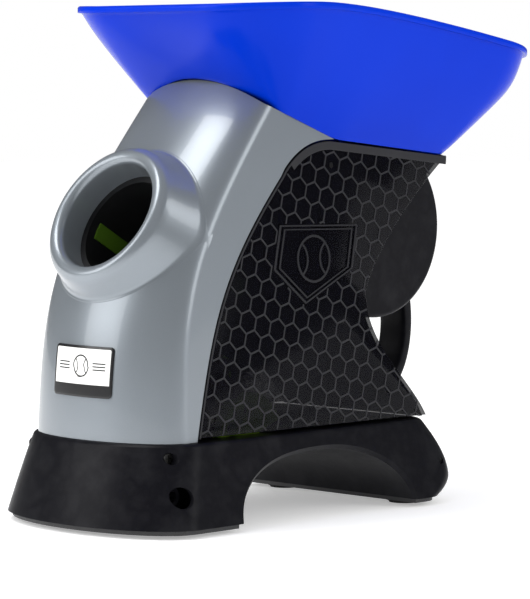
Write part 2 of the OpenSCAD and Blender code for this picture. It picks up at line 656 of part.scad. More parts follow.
bowl_t = [0, 0.12, 0.25, 0.36, 0.48, 0.6, 0.72, 0.84, 0.93, 1];
module hopper() {
  place() color([0.0, 0.12, 0.85]) ring_loft(concat(
    [lip_loop(hopper_w / 2 - 1, 0), lip_loop(hopper_w / 2, 1), lip_loop(hopper_w / 2, 5)],
    [lip_loop(hopper_w / 2 - 3, 5)],
    [for (t = bowl_t) if (t > 0) bowl_loop(t, 0)],
    [bowl_loop(1, 0.6)],
    [lift_loop(1, 0.6, 5, 269), lift_loop(1, 9.5, 5, 269), hole_loop(38.6, 254), hole_loop(38.6, 244),
      hole_loop(36, 244), hole_loop(36, 257), lift_loop(1, 10.5, 8.5, 272.5), lift_loop(0.97, 3, 8.5, 272.5)],
    [for (i = [7:-1:1]) if (bowl_t[i] < 0.8) bowl_loop(bowl_t[i], 2.6)],
    [lip_loop(hopper_w / 2 - 5.6, 5), lip_loop(hopper_w / 2 - 5, 0)]));
}

// ---------- fasteners ----------
module screw_x(s, x, y, z, r) {
  translate([x, y, z]) rotate([0, s * 90, 0]) difference() {
    union() {
      cylinder(r = r, h = 1.6, $fn = 32);
      translate([0, 0, -6]) cylinder(r = r * 0.5, h = 6.2, $fn = 24);
    }
    for (a = [0, 90]) rotate(a) translate([-r * 0.7, -r * 0.15, 0.8]) cube([r * 1.4, r * 0.3, 2]);
  }
}
module panel_screws() {
  place() color([0.05, 0.05, 0.05]) for (s = [-1, 1]) translate([s * lean_x, 0, 0])
    rotate([0, -s * side_lean, 0]) for (p = screw_points) screw_x(s, s * (0.6 - panel_t), p[0], p[1], 2.1);
}
module base_screws() {
  place() color([0.05, 0.05, 0.05]) {
    for (s = [-1, 1]) screw_x(s, s * 68.1, -103.1, 53.3, 3.6);
    for (s = [-1, 1]) screw_x(s, s * 82.7, 156.5, 31, 2.2);
    for (s = [-1, 1]) for (y = [-90, 143.4]) translate([s * 61.2, y, 1.1]) {
      cylinder(r = 4, h = 1.4, $fn = 32);
      cylinder(r = 2, h = 14, $fn = 24);
    }
  }
}
module frame_screws() {
  place() color([0.6, 0.6, 0.62]) {
    for (a = [45, 225]) rod_x(39.8, 4.4, motor_at[0] + 8.5 * cos(a), motor_at[1] + 8.5 * sin(a), 1.3);
    for (s = [-1, 1]) translate([s * 30, -118, 1.4]) cylinder(r = 1.9, h = 12, $fn = 24);
  }
}

base_shell();
bottom_plate_front();
bottom_plate_rear();
rubber_feet();
front_shell();
nozzle_collar();
launch_barrel();
guide_rails();
feed_chute();
side_panel_right();
side_panel_left();
panel_crest_right();
panel_crest_left();
front_label();
rear_wall();
top_rails();
drum_shell();
drum_side_disc();
battery_tray();
battery_cells();
battery_contacts();
battery_door();
door_pin();
carry_handle();
gear_plate_right();
gear_plate_left();
shaft_bushings();
motor();
motor_pinion();
winding_gear();
launch_arm();
arm_spring();
control_board();
power_jack();
switch_frame();
power_rocker();
sensor_switch();
sensor_lever();
hopper();
panel_screws();
base_screws();
frame_screws();
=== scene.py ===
import json
import math

import bmesh
import bpy
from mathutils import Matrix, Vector


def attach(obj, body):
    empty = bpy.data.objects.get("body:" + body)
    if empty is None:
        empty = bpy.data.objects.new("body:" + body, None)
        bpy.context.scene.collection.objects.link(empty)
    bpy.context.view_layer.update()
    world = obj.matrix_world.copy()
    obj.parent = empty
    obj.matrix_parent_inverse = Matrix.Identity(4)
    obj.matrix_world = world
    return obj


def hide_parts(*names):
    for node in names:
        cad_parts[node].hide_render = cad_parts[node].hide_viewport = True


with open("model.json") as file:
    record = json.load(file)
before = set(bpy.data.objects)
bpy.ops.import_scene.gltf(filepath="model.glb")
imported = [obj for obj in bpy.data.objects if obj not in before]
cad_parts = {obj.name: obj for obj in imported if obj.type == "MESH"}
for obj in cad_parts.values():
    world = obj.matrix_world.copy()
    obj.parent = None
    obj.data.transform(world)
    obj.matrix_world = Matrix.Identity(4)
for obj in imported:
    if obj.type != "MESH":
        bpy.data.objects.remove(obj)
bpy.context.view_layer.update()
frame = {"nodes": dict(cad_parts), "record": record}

MM = 0.001
SHIFT_Y = -54.15          # moves the design frame to the middle of the overall length

# ---------- sizes, in millimetres ----------
HOPPER_W, HOPPER_L, LIP_TOP = 222.0, 305.0, 362.0
HOPPER_FRONT = -54.7
HOPPER_REAR = HOPPER_FRONT + HOPPER_L
BASE_TOP, BASE_UNDER, BASE_WALL = 62.5, 6.0, 3.0
ARCH_H, ARCH_HALF, ARCH_MID = 49.0, 87.0, 37.0
SIDE_X, LEAN = 75.36, math.radians(2.52)
SHELL_T, PANEL_T = 2.6, 3.0
NOZZLE_AT, NOZZLE_TILT = (0.0, -98.0, 218.0), math.radians(30)
LIP_MID_R, LIP_ROUND = 45.9, 5.6
SLEEVE_R, SLEEVE_DEEP = 40.3, 23.0
HEX_SIDE, HEX_TURN, HEX_AT = 8.454, math.radians(14.76), (-40.9, 145.7)
FRONT_SCREW, REAR_SCREW = (-103.1, 53.3), (156.5, 31)      # (y, z), the same on both sides
INLET = (-103, 27.6)      # (y, z), on the right side


def at(x, y, z):
    """A design point in millimetres as a scene point in metres."""
    return Vector((x * MM, (y + SHIFT_Y) * MM, z * MM))


def mix(a, b, t):
    return a + (b - a) * t


def bezier(a, b, c, d, count, last=False):
    out = []
    for i in range(count + (1 if last else 0)):
        t = i / count
        k = ((1 - t) ** 3, 3 * t * (1 - t) ** 2, 3 * t * t * (1 - t), t ** 3)
        out.append(tuple(sum(k[j] * p[n] for j, p in enumerate((a, b, c, d))) for n in (0, 1)))
    return out


# ---------- camera ----------
def make_camera():
    data = bpy.data.cameras.new("camera")
    data.lens = 190.8
    data.sensor_width = 36
    data.shift_y = 0.0761
    data.clip_start, data.clip_end = 0.05, 60
    cam = bpy.data.objects.new("camera", data)
    cam.location = (1.61647, -1.62642, 0.31310)
    look = -Vector((0.70114, -0.70791, 0.08530))
    cam.rotation_mode = "QUATERNION"
    cam.rotation_quaternion = look.to_track_quat("-Z", "Y")
    bpy.context.collection.objects.link(cam)
    bpy.context.scene.camera = cam


# ---------- mesh helpers ----------
def new_object(name, verts, faces, sharp=35):
    mesh = bpy.data.meshes.new(name)
    mesh.from_pydata(verts, [], faces)
    mesh.validate()
    ob = bpy.data.objects.new(name, mesh)
    bpy.context.collection.objects.link(ob)
    face_outward(ob)
    smooth(ob, sharp)
    return ob


def face_outward(ob):
    bm = bmesh.new()
    bm.from_mesh(ob.data)
    bmesh.ops.remove_doubles(bm, verts=bm.verts, dist=1e-7)
    bmesh.ops.recalc_face_normals(bm, faces=bm.faces)
    bm.to_mesh(ob.data)
    bm.free()


def smooth(ob, sharp=35):
    ob.data.shade_smooth()
    ob.data.set_sharp_from_angle(angle=math.radians(sharp))


def skin(loops, closed_ends=True, ring=False):
    """Vertices and faces between equal closed loops."""
    n, m = len(loops[0]), len(loops)
    verts = [p for loop in loops for p in loop]
    faces = []
    for j in range(m if ring else m - 1):
        k = (j + 1) % m
        for i in range(n):
            i2 = (i + 1) % n
            faces.append((j * n + i, j * n + i2, k * n + i2, k * n + i))
    if closed_ends and not ring:
        faces.append(tuple(range(n - 1, -1, -1)))
        faces.append(tuple((m - 1) * n + i for i in range(n)))
    return verts, faces


def settle(ob, sharp=35):
    """Turns an object with live modifiers into a plain mesh."""
    graph = bpy.context.evaluated_depsgraph_get()
    mesh = bpy.data.meshes.new_from_object(ob.evaluated_get(graph))
    ob.modifiers.clear()
    old, ob.data = ob.data, mesh
    bpy.data.meshes.remove(old)
    smooth(ob, sharp)
    return ob


def carve(ob, *cutters, sharp=35):
    """Cuts each cutter out of an object and removes the cutter."""
    for cutter in cutters:
        step = ob.modifiers.new("cut", "BOOLEAN")
        step.operation = "DIFFERENCE"
        step.solver = "EXACT"
        step.object = cutter
        settle(ob, sharp)
        bpy.data.objects.remove(cutter)
    return ob


def join(ob, *others, sharp=35):
    verts = [v.co.copy() for v in ob.data.vertices]
    faces = [tuple(f.vertices) for f in ob.data.polygons]
    for other in others:
        start = len(verts)
        verts += [v.co.copy() for v in other.data.vertices]
        faces += [tuple(start + i for i in f.vertices) for f in other.data.polygons]
        bpy.data.objects.remove(other)
    ob.data.clear_geometry()
    ob.data.from_pydata(verts, [], faces)
    face_outward(ob)
    smooth(ob, sharp)
    return ob


def prism_x(name, points, x0, x1):
    """A solid with a YZ outline, straight along X."""
    loops = [[at(x, y, z) for y, z in points] for x in (x0, x1)]
    return new_object(name, *skin(loops))


def rod_x(name, x0, x1, y, z, r, sides=48):
    turn = [2 * math.pi * i / sides for i in range(sides)]
    return prism_x(name, [(y + r * math.cos(a), z + r * math.sin(a)) for a in turn], x0, x1)


def box_mm(name, low, high):
    corners = [(low[0], low[1]), (high[0], low[1]), (high[0], high[1]), (low[0], high[1])]
    loops = [[at(x, y, z) for x, y in corners] for z in (low[2], high[2])]
    return new_object(name, *skin(loops))


def place_piece(ob, body, slot_name, material, *nodes):
    ob.data.materials.clear()
    ob.data.materials.append(material)
    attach(ob, body)
    if nodes:
        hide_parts(*nodes)
    return ob


# ---------- shared effects ----------
def new_group(name, inputs, outputs):
    tree = bpy.data.node_groups.new(name, "ShaderNodeTree")
    for label, kind, value in inputs:
        socket = tree.interface.new_socket(label, in_out="INPUT", socket_type=kind)
        socket.default_value = value
    for label, kind in outputs:
        tree.interface.new_socket(label, in_out="OUTPUT", socket_type=kind)
    return tree, tree.nodes.new("NodeGroupInput"), tree.nodes.new("NodeGroupOutput")


def add(tree, kind, **settings):
    node = tree.nodes.new(kind)
    for key, value in settings.items():
        setattr(node, key, value)
    return node


def math_node(tree, operation, a, b=None, c=None, clamp=False):
    node = add(tree, "ShaderNodeMath", operation=operation, use_clamp=clamp)
    for i, value in enumerate((a, b, c)):
        if value is None:
            continue
        if isinstance(value, (int, float)):
            node.inputs[i].default_value = value
        else:
            tree.links.new(value, node.inputs[i])
    return node.outputs[0]


def mix_colour(tree, factor, a, b):
    node = add(tree, "ShaderNodeMix", data_type="RGBA")
    for socket, value in ((node.inputs[0], factor), (node.inputs[6], a), (node.inputs[7], b)):
        if isinstance(value, (int, float)):
            socket.default_value = value
        elif isinstance(value, (tuple, list)):
            socket.default_value = (*value[:3], 1)
        else:
            tree.links.new(value, socket)
    return node.outputs[2]


def noise(tree, place, scale, detail=4, rough=0.55):
    node = add(tree, "ShaderNodeTexNoise")
    node.inputs["Detail"].default_value = detail
    node.inputs["Roughness"].default_value = rough
    tree.links.new(place, node.inputs["Vector"])
    if isinstance(scale, (int, float)):
        node.inputs["Scale"].default_value = scale
    else:
        tree.links.new(scale, node.inputs["Scale"])
    return node.outputs["Fac"]


def spark_grain():
    """Fine spark-eroded mould texture: a colour, a roughness and a height."""
    tree, inp, out = new_group("spark_grain", [
        ("Colour", "NodeSocketColor", (0.5, 0.5, 0.5, 1)), ("Roughness", "NodeSocketFloat", 0.4),
        ("Grain scale", "NodeSocketFloat", 1800.0), ("Grain depth", "NodeSocketFloat", 0.5),
        ("Mottle", "NodeSocketFloat", 0.1)],
        [("Colour", "NodeSocketColor"), ("Roughness", "NodeSocketFloat"), ("Height", "NodeSocketFloat")])
    place = add(tree, "ShaderNodeTexCoord").outputs["Object"]
    fine = noise(tree, place, inp.outputs["Grain scale"], 3, 0.6)
    broad = noise(tree, place, 38.0, 5, 0.6)
    patch = noise(tree, place, 210.0, 3, 0.5)
    lift = math_node(tree, "MULTIPLY", math_node(tree, "SUBTRACT", broad, 0.5), inp.outputs["Mottle"])
    pale = mix_colour(tree, 0.35, inp.outputs["Colour"], (0.75, 0.76, 0.78))
    colour = mix_colour(tree, math_node(tree, "ADD", math_node(tree, "ABSOLUTE", lift), 0.0, clamp=True),
                        inp.outputs["Colour"], pale)
    rough = math_node(tree, "ADD", inp.outputs["Roughness"],
                      math_node(tree, "MULTIPLY", math_node(tree, "SUBTRACT", patch, 0.5),
                                inp.outputs["Mottle"]), clamp=True)
    height = math_node(tree, "MULTIPLY", fine, inp.outputs["Grain depth"])
    tree.links.new(colour, out.inputs["Colour"])
    tree.links.new(rough, out.inputs["Roughness"])
    tree.links.new(height, out.inputs["Height"])
    return tree


def handling_marks():
    """Faint smears and hairlines on glossy plastic: a roughness and a height."""
    tree, inp, out = new_group("handling_marks", [
        ("Roughness", "NodeSocketFloat", 0.1), ("Smears", "NodeSocketFloat", 0.1),
        ("Hairlines", "NodeSocketFloat", 0.2)],
        [("Roughness", "NodeSocketFloat"), ("Height", "NodeSocketFloat")])
    place = add(tree, "ShaderNodeTexCoord").outputs["Object"]
    smear = noise(tree, place, 26.0, 6, 0.62)
    stretch = add(tree, "ShaderNodeMapping")
    stretch.inputs["Rotation"].default_value = (0.4, 0.9, 0.2)
    stretch.inputs["Scale"].default_value = (60, 2600, 60)
    tree.links.new(place, stretch.inputs["Vector"])
    hair = noise(tree, stretch.outputs[0], 1.0, 2, 0.5)
    hair = math_node(tree, "GREATER_THAN", hair, 0.73)
    wave = noise(tree, place, 14.0, 2, 0.4)
    rough = math_node(tree, "ADD", inp.outputs["Roughness"],
                      math_node(tree, "MULTIPLY", math_node(tree, "SUBTRACT", smear, 0.45, clamp=True),
                                inp.outputs["Smears"]), clamp=True)
    height = math_node(tree, "ADD", math_node(tree, "MULTIPLY", hair, inp.outputs["Hairlines"]),
                       math_node(tree, "MULTIPLY", wave, 2.0))
    tree.links.new(rough, out.inputs["Roughness"])
    tree.links.new(height, out.inputs["Height"])
    return tree


GRAIN = spark_grain()
MARKS = handling_marks()


def plain_material(name, colour, metallic=0.0, ior=1.46, coat=0.0, coat_rough=0.05):
    mat = bpy.data.materials.new(name)
    mat.use_nodes = True
    tree = mat.node_tree
    bsdf = tree.nodes["Principled BSDF"]
    bsdf.inputs["Base Color"].default_value = (*colour, 1)
    bsdf.inputs["Metallic"].default_value = metallic
    bsdf.inputs["IOR"].default_value = ior
    bsdf.inputs["Coat Weight"].default_value = coat
    bsdf.inputs["Coat Roughness"].default_value = coat_rough
    return mat, tree, bsdf


def bump(tree, bsdf, height, distance, strength=1.0):
    node = add(tree, "ShaderNodeBump")
    node.inputs["Strength"].default_value = strength
    node.inputs["Distance"].default_value = distance
    tree.links.new(height, node.inputs["Height"])
    tree.links.new(node.outputs[0], bsdf.inputs["Normal"])


def grained(name, colour, rough=0.45, scale=1800.0, depth=0.5, mottle=0.1, metallic=0.0, distance=0.00006,
            shine=0.5):
    mat, tree, bsdf = plain_material(name, colour, metallic)
    bsdf.inputs["Specular IOR Level"].default_value = shine
    group = add(tree, "ShaderNodeGroup", node_tree=GRAIN)
    for label, value in (("Colour", (*colour, 1)), ("Roughness", rough), ("Grain scale", scale),
                         ("Grain depth", depth), ("Mottle", mottle)):
        group.inputs[label].default_value = value
    tree.links.new(group.outputs["Colour"], bsdf.inputs["Base Color"])
    tree.links.new(group.outputs["Roughness"], bsdf.inputs["Roughness"])
    bump(tree, bsdf, group.outputs["Height"], distance)
    return mat


def glossy(name, colour, rough=0.12, smears=0.08, hairlines=0.2, metallic=0.0, coat=0.0, distance=0.00002,
           shine=0.5):
    mat, tree, bsdf = plain_material(name, colour, metallic, coat=coat)
    bsdf.inputs["Specular IOR Level"].default_value = shine
    group = add(tree, "ShaderNodeGroup", node_tree=MARKS)
    for label, value in (("Roughness", rough), ("Smears", smears), ("Hairlines", hairlines)):
        group.inputs[label].default_value = value
    tree.links.new(group.outputs["Roughness"], bsdf.inputs["Roughness"])
    bump(tree, bsdf, group.outputs["Height"], distance)
    return mat


def pearl_silver():
    """Silver paint-like plastic with fine mica flakes under a clear gloss."""
    mat = glossy("pearl silver", (0.24, 0.26, 0.29), rough=0.30, smears=0.06, metallic=0.5, coat=0.5)
    tree = mat.node_tree
    bsdf = tree.nodes["Principled BSDF"]
    place = add(tree, "ShaderNodeTexCoord").outputs["Object"]
    flakes = noise(tree, place, 2600.0, 2, 0.7)
    cloud = noise(tree, place, 9.0, 3, 0.5)
    factor = math_node(tree, "ADD", math_node(tree, "MULTIPLY", flakes, 0.5),
                       math_node(tree, "MULTIPLY", cloud, 0.25), clamp=True)
    colour = mix_colour(tree, factor, (0.19, 0.215, 0.24), (0.29, 0.32, 0.35))
    tree.links.new(colour, bsdf.inputs["Base Color"])
    return mat


def hopper_blue():
    mat = glossy("royal blue", (0.0, 0.02, 0.5), rough=0.20, smears=0.08, hairlines=0.2, shine=0.08)
    tree = mat.node_tree
    bsdf = tree.nodes["Principled BSDF"]
    place = add(tree, "ShaderNodeTexCoord").outputs["Object"]
    flow = noise(tree, place, 7.0, 3, 0.5)
    colour = mix_colour(tree, flow, (0.0, 0.022, 0.43), (0.0, 0.035, 0.57))
    tree.links.new(colour, bsdf.inputs["Base Color"])
    return mat


def smoked_plastic():
    """Dark see-through plastic. The works behind it show as a faint tint."""
    mat = glossy("smoked panel", (0.003, 0.003, 0.005), rough=0.10, smears=0.10, hairlines=0.3, shine=0.12)
    bsdf = mat.node_tree.nodes["Principled BSDF"]
    bsdf.inputs["Alpha"].default_value = 0.72
    return mat


def steel(name, colour=(0.62, 0.63, 0.65), rough=0.28):
    return grained(name, colour, rough, 900.0, 0.3, 0.12, metallic=1.0, distance=0.00002)


def label_print():
    """White plate with a black frame, a black foot band and a plain ball sign."""
    mat, tree, bsdf = plain_material("label print", (0.85, 0.85, 0.83))
    uv = add(tree, "ShaderNodeUVMap", uv_map="label")
    split = add(tree, "ShaderNodeSeparateXYZ")
    tree.links.new(uv.outputs[0], split.inputs[0])
    u, v = split.outputs[0], split.outputs[1]

    def ring(cx, cy, r, half):
        dx, dy = math_node(tree, "SUBTRACT", u, cx), math_node(tree, "SUBTRACT", v, cy)
        far = math_node(tree, "SQRT", math_node(tree, "ADD", math_node(tree, "MULTIPLY", dx, dx),
                                                math_node(tree, "MULTIPLY", dy, dy)))
        return far, math_node(tree, "LESS_THAN", math_node(tree, "ABSOLUTE",
                                                           math_node(tree, "SUBTRACT", far, r)), half)

    def between(value, low, high):
        return math_node(tree, "MULTIPLY", math_node(tree, "GREATER_THAN", value, low),
                         math_node(tree, "LESS_THAN", value, high))

    far, circle = ring(0.5, 0.365, 0.125, 0.009)
    inside = math_node(tree, "LESS_THAN", far, 0.125)
    left = math_node(tree, "MULTIPLY", ring(0.32, 0.365, 0.125, 0.007)[1], inside)
    right = math_node(tree, "MULTIPLY", ring(0.68, 0.365, 0.125, 0.007)[1], inside)
    band = math_node(tree, "LESS_THAN", v, 0.15)
    across = math_node(tree, "MAXIMUM", between(u, 0.10, 0.30), between(u, 0.70, 0.90))
    bars = math_node(tree, "MULTIPLY", across, math_node(
        tree, "MAXIMUM", between(v, 0.395, 0.41), math_node(tree, "MAXIMUM", between(v, 0.3575, 0.3725),
                                                            between(v, 0.32, 0.335))))
    ink = math_node(tree, "MAXIMUM", math_node(tree, "MAXIMUM", circle, band),
                    math_node(tree, "MAXIMUM", bars, math_node(tree, "MAXIMUM", left, right)))
    edge = add(tree, "ShaderNodeAttribute", attribute_name="frame_line")
    ink = math_node(tree, "MAXIMUM", ink, edge.outputs["Fac"], clamp=True)
    colour = mix_colour(tree, ink, (0.83, 0.83, 0.81), (0.012, 0.012, 0.013))
    tree.links.new(colour, bsdf.inputs["Base Color"])
    group = add(tree, "ShaderNodeGroup", node_tree=MARKS)
    group.inputs["Roughness"].default_value = 0.22
    tree.links.new(group.outputs["Roughness"], bsdf.inputs["Roughness"])
    bump(tree, bsdf, group.outputs["Height"], 0.00001)
    return mat


def make_materials():
    return {
        "black_moulding": grained("black moulding", (0.005, 0.005, 0.007), 0.34, 1500.0, 0.5, 0.12,
                                  shine=0.10),
        "shell_silver": pearl_silver(),
        "hopper_blue": hopper_blue(),
        "smoked_panel": smoked_plastic(),
        "panel_lines": grained("panel lines", (0.018, 0.018, 0.021), 0.42, 2400.0, 0.3, 0.08, shine=0.3),
        "crest_dark": glossy("crest dark", (0.010, 0.010, 0.013), 0.26, 0.05, shine=0.4),
        "label_white": label_print(),
        "barrel_black": grained("barrel black", (0.006, 0.006, 0.007), 0.5, 1500.0, 0.4, 0.06, shine=0.3),
        "lime_plastic": grained("lime plastic", (0.33, 0.60, 0.02), 0.35, 1500.0, 0.3, 0.06),
        # painted shade: the rails' lime is darkened to the shade they sit in inside the launch bore
        "rail_green": grained("rail green", (0.06, 0.13, 0.008), 0.4, 1500.0, 0.3, 0.06),
        "drum_charcoal": grained("drum charcoal", (0.005, 0.005, 0.007), 0.40, 1300.0, 0.7, 0.12, shine=0.1),
        "foot_rubber": grained("foot rubber", (0.011, 0.011, 0.011), 0.8, 900.0, 0.8, 0.1),
        "plate_grey": grained("plate grey", (0.03, 0.03, 0.032), 0.5, 1500.0, 0.4, 0.1),
        "bare_steel": steel("bare steel"),
        "brass_parts": steel("brass", (0.70, 0.50, 0.20), 0.25),
        # painted shade: the white gears get a dark grey so they stay in shade behind the smoked panel
        "gear_white": grained("gear white", (0.20, 0.20, 0.19), 0.4, 1500.0, 0.3, 0.06),
        "screw_black": steel("black screws", (0.03, 0.03, 0.03), 0.4),
        "cell_jacket": glossy("cell jacket", (0.40, 0.30, 0.06), 0.2, metallic=0.6),
        "board_green": glossy("board green", (0.02, 0.15, 0.05), 0.25),
        "rocker_red": glossy("rocker red", (0.45, 0.02, 0.02), 0.18),
    }


def dress_cad_nodes(looks):
    """Each CAD node takes the finish of its record slot, but the guide rails take a darker green, painted
    shade for the dark inside of the launch bore.
    """
    for part in frame["record"]["subparts"]:
        ob = frame["nodes"][part["node"]]
        for holder in ob.material_slots:
            holder.material = looks["rail_green" if part["node"] == "guide_rails" else part["material_slot"]]


# ---------- body outlines ----------
def side_x(z):
    return SIDE_X - math.tan(LEAN) * z


def lean_y(z):
    return -86.4 + 24.9 * math.log(1 + math.exp((z - 180) / 30))


def seam_y(z):
    return lean_y(z) + 8 + 0.2 * (z - 65)


def seat_z(x, y):
    slope = 0.37 if y < 66 else 0.11
    crown = 14 * max(0.0, 1 - (x / 62) ** 2) if y < 30 else 0.0
    return 266.4 - slope * (y - 66) + crown


def outline(w, front, rear, rx, ry, rr, corner=22, side=18, end=14):
    """Closed outline seen from above: elliptic front corners, round rear corners."""
    rx = min(rx, w - 0.4)
    pts = []

    def arc(cx, cy, ax, ay, start):
        for i in range(corner + 1):
            a = math.radians(start + 90 * i / corner)
            pts.append((cx + ax * math.cos(a), cy + ay * math.sin(a)))

    def straight(a, b, count):
        for i in range(1, count):
            pts.append((mix(a[0], b[0], i / count), mix(a[1], b[1], i / count)))

    arc(w - rr, rear - rr, rr, rr, 0)
    straight((w - rr, rear), (-w + rr, rear), end)
    arc(-w + rr, rear - rr, rr, rr, 90)
    straight((-w, rear - rr), (-w, front + ry), side)
    arc(-w + rx, front + ry, rx, ry, 180)
    straight((-w + rx, front), (w - rx, front), end)
    arc(w - rx, front + ry, rx, ry, 270)
    straight((w, front + ry), (w, rear - rr), side)
    return pts


# ---------- hopper ----------
def lip_z(y):
    behind = max(0.0, y - 10)
    ahead = min(0.0, y - 10)
    return (LIP_TOP - 0.0004 * ahead ** 2 - 0.12 * behind - 0.00016 * behind ** 2
            + 4.0 * (1 - math.exp(-behind / 40)))


def bowl_loop(t, inset):
    side = 0.49 * t + 0.51 * t * t
    rear = min(1.0, math.log(math.exp(12 * 0.14 * t) + math.exp(12 * (t - 0.31) / 0.69)) / 12
               - math.log(1 + math.exp(-12 * 0.31 / 0.69)) / 12)
    foot_w = side_x(280) + 0.9
    pts = outline(mix(HOPPER_W / 2 - 3, foot_w, side) - inset,
                  mix(HOPPER_FRONT + 3, -13.2, side) + inset,
                  mix(HOPPER_REAR - 3, 188, rear) - inset,
                  mix(57, foot_w, side) - inset, mix(57, 32.5, side) - inset, mix(44, 14, rear) - inset)
    return [(x, y, mix(lip_z(y) - 5, seat_z(x * 0.985, min(188, y)), t)) for x, y in pts]


def lip_loop(w, drop):
    back = HOPPER_W / 2 - w
    pts = outline(w, HOPPER_FRONT + back, HOPPER_REAR - back, 60 - back, 60 - back, 47 - back)
    return [(x, y, lip_z(y) - drop) for x, y in pts]


def lift_loop(t, inset, raise_by, least):
    return [(x, y, max(z + raise_by, least + 0.05 * (y - 60))) for x, y, z in bowl_loop(t, inset)]


def hole_loop(r, z):
    out = []
    for x, y, _ in bowl_loop(1, 10):
        a = math.atan2(y - 18, x)
        out.append((r * math.cos(a), 18 + r * math.sin(a), z))
    return out


def make_hopper():
    w = HOPPER_W / 2
    down = [i / 34 for i in range(1, 35)]
    loops = [lip_loop(w - 2.6, 0.25), lip_loop(w - 1.7, 0), lip_loop(w - 0.8, 0.3), lip_loop(w - 0.2, 0.9),
             lip_loop(w, 1.6), lip_loop(w, 4.4), lip_loop(w - 0.25, 4.85), lip_loop(w - 0.8, 5.0),
             lip_loop(w - 2.6, 5.05), lip_loop(w - 3, 5.6)]
    loops += [bowl_loop(t, 0) for t in down]
    loops += [bowl_loop(1, 0.6), lift_loop(1, 0.6, 5, 269), lift_loop(1, 9.5, 5, 269), hole_loop(38.6, 254),
              hole_loop(38.6, 244.4), hole_loop(38.2, 244), hole_loop(36.4, 244), hole_loop(36, 244.4),
              hole_loop(36, 255), hole_loop(37.5, 257), lift_loop(1, 10.5, 8.5, 272.5),
              lift_loop(0.97, 3, 8.5, 272.5)]
    loops += [bowl_loop(t, 2.6) for t in reversed(down) if t < 0.8]
    loops += [lip_loop(w - 5.6, 5), lip_loop(w - 5.2, 1.6), lip_loop(w - 4.6, 0.6), lip_loop(w - 3.6, 0.25)]
    return new_object("hopper_bowl", *skin([[at(*p) for p in loop] for loop in loops], ring=True), sharp=40)


# ---------- silver body ----------
def column_loop(z, inset, back, count=56, straight=14):
    w, y0 = side_x(z) - inset, lean_y(z)
    depth = side_x(z) / 2 - inset
    pts = [(w, mix(back, y0, i / straight)) for i in range(straight)]
    for i in range(count + 1):
        a = -math.pi * i / count
        pts.append((w * math.cos(a), y0 + depth * math.sin(a)))
    pts += [(-w, mix(y0, back, i / straight)) for i in range(1, straight + 1)]
    return pts


def column_front(x, z, out=0.0):
    """Y of the body's front surface, out millimetres proud of it."""
    w = side_x(z) + out
    return lean_y(z) - (side_x(z) / 2 + out) * math.sqrt(max(0.0, 1 - (x / w) ** 2))


def column_solid(name, inset, back, low, high, steps):
    loops = []
    for j in range(steps + 1):
        z = mix(low, high, j / steps)
        loops.append([at(x, y, z) for x, y in column_loop(z, inset, back)])
    return new_object(name, *skin(loops))


def panel_outline(front_off=0.0):
    front = [(seam_y(mix(65, 246.4, i / 36)) - front_off, mix(65, 246.4, i / 36)) for i in range(36)]
    crown = bezier((14.7, 246.4), (27, 259), (42, 266.5), (62, 266), 16, last=True)
    rear_top = bezier((185.2, 252.9), (140, 222), (93.7, 172), (93.7, 154.4), 28)
    rear_low = bezier((93.7, 154.4), (94, 118), (140, 90), (154.5, 64), 24, last=True)
    return front, crown, rear_top, rear_low


def seat_cutter(lift):
    """Everything above the hopper's seat."""
    tilt = math.atan(0.37)
    loops = []
    for along in (-200, 260):
        ring = []
        for i in range(-24, 25):
            x = 90 * i / 24
            ring.append((x, 290.8 + lift + 14 * max(0.0, 1 - (x / 62) ** 2) - math.tan(tilt) * along))
        ring += [(90, 600), (-90, 600)]
        loops.append([at(x, along, z) for x, z in ring])
    return new_object("above_seat", *skin(loops))


def make_front_shell():
    shell = column_solid("silver_shell", 0, 66, BASE_TOP + 0.2, 318, 76)
    core = column_solid("shell_core", SHELL_T, 72, BASE_TOP - 3, 322, 76)
    front, crown = panel_outline(0.5)[:2]
    zone = [(seam_y(58) - 0.5, 58)] + front + [(y - 0.4, z + 0.45) for y, z in crown]
    zone += [(70, 266.6), (130, 266.6), (130, 58)]
    panel_zone = prism_x("panel_zone", zone, -110, 110)
    ring = [nozzle_point(-25, 47, 2 * math.pi * i / 72) for i in range(72)]
    far = [nozzle_point(80, 47, 2 * math.pi * i / 72) for i in range(72)]
    bore = new_object("nozzle_bore", *skin([ring, far]))
    return carve(shell, core, panel_zone, seat_cutter(-0.1), bore)


# ---------- nozzle ----------
def nozzle_point(s, r, turn):
    """A point s in from the lip along the launch axis, r out from it."""
    across = (0.0, math.cos(math.radians(-120)), math.sin(math.radians(-120)))
    into = (0.0, math.cos(NOZZLE_TILT), -math.sin(NOZZLE_TILT))
    c, d = math.cos(turn), math.sin(turn)
    y, z = (NOZZLE_AT[k] + into[k] * s + across[k] * r * d for k in (1, 2))
    return at(r * c, y, z)


def depth_in_body(p, out=0.0):
    """Negative in front of the body's surface, positive behind it."""
    x, y, z = p.x / MM, p.y / MM - SHIFT_Y, p.z / MM
    return y - column_front(max(-side_x(z) + 0.01, min(side_x(z) - 0.01, x)), z, out)


def reach_body(r, turn, out=0.0):
    """How far in along the axis a line at radius r meets the body."""
    low, high = -40.0, 120.0
    for _ in range(46):
        mid = (low + high) / 2
        if depth_in_body(nozzle_point(mid, r, turn), out) < 0:
            low = mid
        else:
            high = mid
    return (low + high) / 2


def cone(s):
    """Outside radius of the flared collar at depth s."""
    return 52.6 + 0.3658 * (s - 4)


